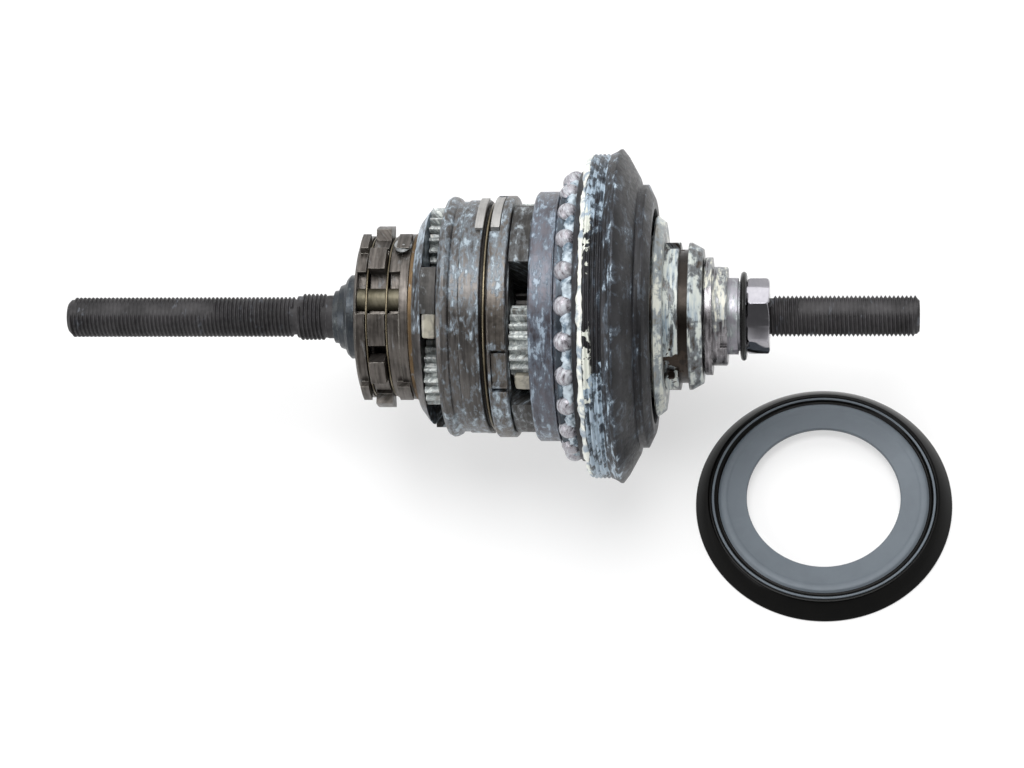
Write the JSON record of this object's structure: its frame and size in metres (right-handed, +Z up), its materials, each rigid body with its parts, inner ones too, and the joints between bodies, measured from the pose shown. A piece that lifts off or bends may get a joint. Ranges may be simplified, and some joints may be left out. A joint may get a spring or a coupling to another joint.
{
  "type": "internal hub gear unit",
  "caption": "Internal gear unit of a bicycle rear hub: long threaded axle, planetary gear stages, clutch, pawl ring, ball bearing, ball cup and sprocket driver, with its dust cap beside it.",
  "frame": {"origin": "on the axle's axis, at the outer face of the right lock nut, where the frame's dropout sits", "axes": "+X along the axle towards the drive side, +Z up, +Y away from the viewer"},
  "size_m": [0.2101, 0.0994, 0.0782],
  "materials": {
    "axle_steel": "dark oxide",
    "dark_steel": "greased dark steel",
    "clutch_steel": "satin",
    "gear_steel": "greased steel",
    "bright_steel": "satin",
    "ball_steel": "polished",
    "cage": "greased steel",
    "chrome": "bright",
    "bronze": "satin",
    "wire": "bright",
    "seal_rubber": "gloss",
    "cap_plate": "satin"
  },
  "bodies": {
    "axle_assembly": {"axle": "axle_steel", "right_sun_gear": "gear_steel", "left_sun_gear": "gear_steel", "sun_spacer": "gear_steel", "sun_thrust_washer": "bronze", "left_stop_nut": "dark_steel", "left_thrust_washer": "dark_steel", "right_cone": "bright_steel", "cone_washer": "bright_steel", "seal_ring": "seal_rubber", "right_lock_nut": "chrome", "dust_cap_plate": "cap_plate", "dust_cap_lip": "seal_rubber"},
    "shift_sleeve": {"shift_sleeve": "bright_steel"},
    "driver": {"driver": "dark_steel", "driver_dust_ring": "bright_steel", "right_ring_gear": "dark_steel", "ring_gear_snap_ring": "clutch_steel"},
    "driver_bearing": {"driver_bearing_cage": "cage", "driver_bearing_balls": "ball_steel"},
    "main_bearing": {"main_bearing_cage": "cage", "main_bearing_balls": "ball_steel"},
    "ball_cup": {"right_ball_cup": "dark_steel"},
    "carrier": {"carrier_web": "dark_steel", "carrier_left_flange": "dark_steel", "carrier_end_plate": "gear_steel", "left_planet_pins": "gear_steel", "right_planet_pins": "gear_steel", "bronze_washer": "bronze", "clutch_drum": "clutch_steel", "clutch_ring_left": "clutch_steel", "clutch_ring_middle": "clutch_steel", "clutch_ring_right": "clutch_steel", "clutch_rollers": "clutch_steel", "clutch_springs": "wire", "clutch_pawl_pins": "clutch_steel"},
    "left_ring": {"left_ring_gear": "dark_steel", "pawl_ring": "dark_steel", "ring_pawl_spring": "wire", "ring_pawl_pins": "clutch_steel", "left_spring_clips": "bright_steel", "right_spring_clips": "bright_steel"},
    "clutch_pawl_1": {"clutch_pawl_1": "clutch_steel"},
    "left_planet_1": {"left_planet_1": "gear_steel"},
    "right_planet_1": {"right_planet_1": "gear_steel"},
    "clutch_pawl_2": {"clutch_pawl_2": "clutch_steel"},
    "left_planet_2": {"left_planet_2": "gear_steel"},
    "right_planet_2": {"right_planet_2": "gear_steel"},
    "clutch_pawl_3": {"clutch_pawl_3": "clutch_steel"},
    "left_planet_3": {"left_planet_3": "gear_steel"},
    "right_planet_3": {"right_planet_3": "gear_steel"},
    "ring_pawl_1": {"ring_pawl_1": "clutch_steel"},
    "ring_pawl_2": {"ring_pawl_2": "clutch_steel"}
  },
  "joints": [
    {"name": "shift_sleeve_turn", "type": "hinge", "parent": "axle_assembly", "child": "shift_sleeve", "pos_m": [-0.01235, 0, 0], "axis": [1, 0, 0], "range_deg": [0, 150], "stiffness_Nm_per_rad": 0.01},
    {"name": "driver_spin", "type": "hinge", "parent": "axle_assembly", "child": "driver", "pos_m": [-0.022, 0, 0], "axis": [1, 0, 0], "continuous": true},
    {"name": "driver_bearing_spin", "type": "hinge", "parent": "axle_assembly", "child": "driver_bearing", "pos_m": [-0.01859, 0, 0], "axis": [1, 0, 0], "continuous": true},
    {"name": "main_bearing_spin", "type": "hinge", "parent": "axle_assembly", "child": "main_bearing", "pos_m": [-0.04528, 0, 0], "axis": [1, 0, 0], "continuous": true},
    {"name": "ball_cup_spin", "type": "hinge", "parent": "axle_assembly", "child": "ball_cup", "pos_m": [-0.035, 0, 0], "axis": [1, 0, 0], "continuous": true},
    {"name": "carrier_spin", "type": "hinge", "parent": "axle_assembly", "child": "carrier", "pos_m": [-0.07, 0, 0], "axis": [1, 0, 0], "continuous": true},
    {"name": "left_ring_spin", "type": "hinge", "parent": "axle_assembly", "child": "left_ring", "pos_m": [-0.067, 0, 0], "axis": [1, 0, 0], "continuous": true},
    {"name": "left_planet_1_spin", "type": "hinge", "parent": "carrier", "child": "left_planet_1", "pos_m": [-0.0736, -0.01721, 0.00526], "axis": [1, 0, 0], "continuous": true},
    {"name": "left_planet_2_spin", "type": "hinge", "parent": "carrier", "child": "left_planet_2", "pos_m": [-0.0736, 0.00405, -0.01754], "axis": [1, 0, 0], "continuous": true},
    {"name": "left_planet_3_spin", "type": "hinge", "parent": "carrier", "child": "left_planet_3", "pos_m": [-0.0736, 0.01316, 0.01228], "axis": [1, 0, 0], "continuous": true},
    {"name": "right_planet_1_spin", "type": "hinge", "parent": "carrier", "child": "right_planet_1", "pos_m": [-0.05345, -0.01381, 0.01334], "axis": [1, 0, 0], "continuous": true},
    {"name": "right_planet_2_spin", "type": "hinge", "parent": "carrier", "child": "right_planet_2", "pos_m": [-0.05345, -0.00464, -0.01863], "axis": [1, 0, 0], "continuous": true},
    {"name": "right_planet_3_spin", "type": "hinge", "parent": "carrier", "child": "right_planet_3", "pos_m": [-0.05345, 0.01846, 0.00529], "axis": [1, 0, 0], "continuous": true},
    {"name": "clutch_pawl_1_fold", "type": "hinge", "parent": "carrier", "child": "clutch_pawl_1", "pos_m": [-0.0899, -0.01668, -0.00087], "axis": [1, 0, 0], "range_deg": [-8, 0], "stiffness_Nm_per_rad": 0.01},
    {"name": "clutch_pawl_2_fold", "type": "hinge", "parent": "carrier", "child": "clutch_pawl_2", "pos_m": [-0.0899, 0.0091, -0.01401], "axis": [1, 0, 0], "range_deg": [-8, 0], "stiffness_Nm_per_rad": 0.01},
    {"name": "clutch_pawl_3_fold", "type": "hinge", "parent": "carrier", "child": "clutch_pawl_3", "pos_m": [-0.0899, 0.00758, 0.01488], "axis": [1, 0, 0], "range_deg": [-8, 0], "stiffness_Nm_per_rad": 0.01},
    {"name": "ring_pawl_1_lift", "type": "hinge", "parent": "left_ring", "child": "ring_pawl_1", "pos_m": [-0.061, -0.02472, 0.01206], "axis": [1, 0, 0], "range_deg": [0, 9], "stiffness_Nm_per_rad": 0.005},
    {"name": "ring_pawl_2_lift", "type": "hinge", "parent": "left_ring", "child": "ring_pawl_2", "pos_m": [-0.061, 0.02472, -0.01206], "axis": [1, 0, 0], "range_deg": [0, 9], "stiffness_Nm_per_rad": 0.005}
  ],
  "couplings": [
    {"joint": "driver_bearing_spin", "follows": "driver_spin", "ratio": 0.554},
    {"joint": "main_bearing_spin", "follows": "driver_spin", "ratio": 0.473},
    {"joint": "carrier_spin", "follows": "driver_spin", "ratio": 0.6875},
    {"joint": "left_ring_spin", "follows": "driver_spin", "ratio": 0.98214},
    {"joint": "left_planet_1_spin", "follows": "driver_spin", "ratio": 1.0312},
    {"joint": "left_planet_2_spin", "follows": "driver_spin", "ratio": 1.0312},
    {"joint": "left_planet_3_spin", "follows": "driver_spin", "ratio": 1.0312},
    {"joint": "right_planet_1_spin", "follows": "driver_spin", "ratio": 1.1458},
    {"joint": "right_planet_2_spin", "follows": "driver_spin", "ratio": 1.1458},
    {"joint": "right_planet_3_spin", "follows": "driver_spin", "ratio": 1.1458}
  ]
}
